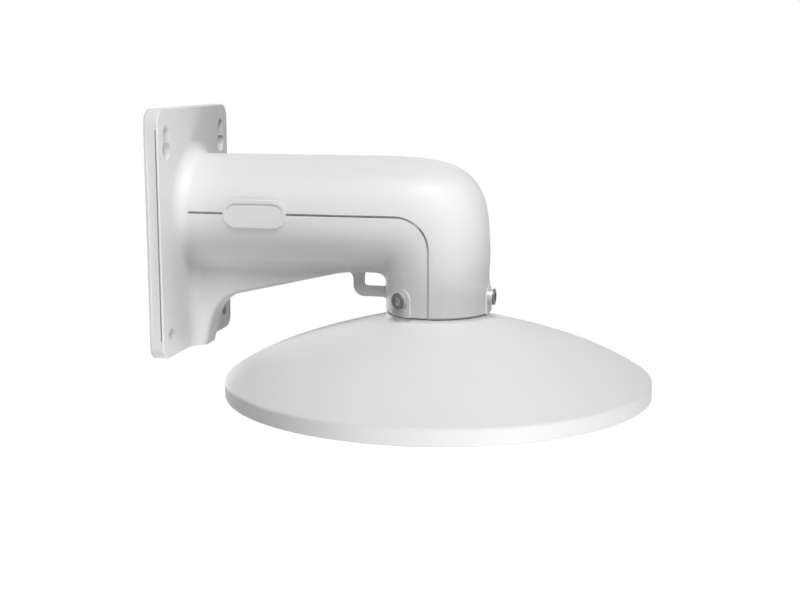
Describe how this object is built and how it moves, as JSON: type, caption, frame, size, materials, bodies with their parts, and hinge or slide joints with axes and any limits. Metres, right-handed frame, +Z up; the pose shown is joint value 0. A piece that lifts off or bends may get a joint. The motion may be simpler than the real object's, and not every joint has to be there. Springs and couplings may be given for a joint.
{
  "type": "camera wall bracket",
  "caption": "Curved hollow wall arm with a keyholed back plate, a round rain shade and a clamped collar for a ceiling-type dome camera.",
  "frame": {"origin": "on the wall face, at the centre of the back plate and of its four fixing positions", "axes": "+X out of the wall along the arm, +Z up, +Y along the wall"},
  "size_m": [0.2957, 0.2624, 0.173],
  "materials": {
    "white_powder_coat": "satin white powder coat on cast aluminium",
    "shade_powder_coat": "satin white powder coat on cast aluminium",
    "painted_screw": "white coated steel with a bare dark socket",
    "gasket_rubber": "matt grey"
  },
  "bodies": {
    "root": {"arm_casting": "white_powder_coat", "rain_shade": "shade_powder_coat", "clamp_screws": "painted_screw", "wall_gasket": "gasket_rubber"}
  },
  "joints": []
}
